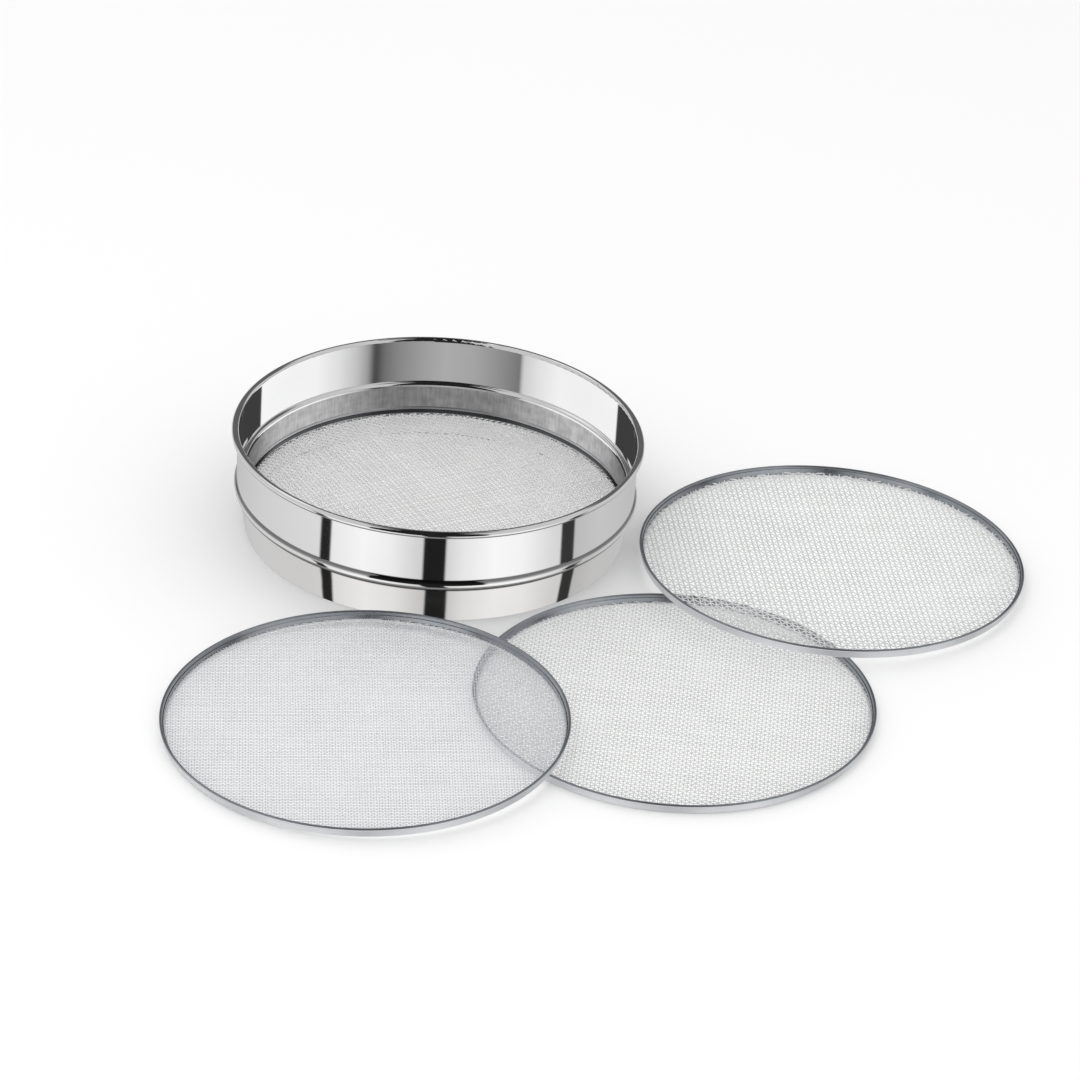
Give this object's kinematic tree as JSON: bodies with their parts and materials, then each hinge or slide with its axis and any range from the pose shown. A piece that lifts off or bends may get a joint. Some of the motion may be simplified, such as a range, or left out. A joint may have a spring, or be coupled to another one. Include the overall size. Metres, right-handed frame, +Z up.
{
  "type": "soil sieve",
  "caption": "Round steel soil sieve with a rolled rim, a woven wire screen held by a lift-out ring, and spare screens of other mesh sizes lying beside it.",
  "frame": {"origin": "centre of the frame's foot, on the frame's axis, in the plane the foot rests on", "axes": "+Z up along the frame's axis, -Y towards the front, where the spare screens lie, +X to the right"},
  "size_m": [0.6166, 0.5793, 0.077],
  "materials": {
    "polished_steel": "mirror-polished stainless steel",
    "ring_steel": "polished rolled lip above a dull band",
    "hoop_steel": "bright rolled stainless strip",
    "mesh_steel": "bright drawn stainless wire, plain square weave",
    "satin_steel": "satin stainless strip",
    "steel_wire": "drawn wire"
  },
  "bodies": {
    "frame": {"body_shell": "polished_steel", "rim_wire": "steel_wire", "support_ledge": "satin_steel"},
    "fitted_screen": {"fitted_hoop": "hoop_steel", "fitted_mesh": "mesh_steel", "fitted_clamp_ring": "hoop_steel"},
    "retainer": {"retaining_ring": "ring_steel"},
    "spare_fine": {"spare_fine_hoop": "hoop_steel", "spare_fine_mesh": "mesh_steel", "spare_fine_clamp_ring": "hoop_steel"},
    "spare_medium": {"spare_medium_hoop": "hoop_steel", "spare_medium_mesh": "mesh_steel", "spare_medium_clamp_ring": "hoop_steel"},
    "spare_coarse": {"spare_coarse_hoop": "hoop_steel", "spare_coarse_mesh": "mesh_steel", "spare_coarse_clamp_ring": "hoop_steel"}
  },
  "joints": [
    {"name": "fitted_screen_lift", "type": "slide", "parent": "frame", "child": "fitted_screen", "axis": [0, 0, 1], "range_m": [0, 0.075]},
    {"name": "retainer_lift", "type": "slide", "parent": "fitted_screen", "child": "retainer", "axis": [0, 0, 1], "range_m": [0, 0.07]},
    {"name": "spare_fine_lift", "type": "slide", "parent": "frame", "child": "spare_fine", "axis": [0, 0, 1], "range_m": [0, 0.08]},
    {"name": "spare_medium_slide", "type": "slide", "parent": "frame", "child": "spare_medium", "axis": [0.5736, -0.8192, 0], "range_m": [0, 0.15]},
    {"name": "spare_coarse_lift", "type": "slide", "parent": "frame", "child": "spare_coarse", "axis": [0, 0, 1], "range_m": [0, 0.08]}
  ]
}
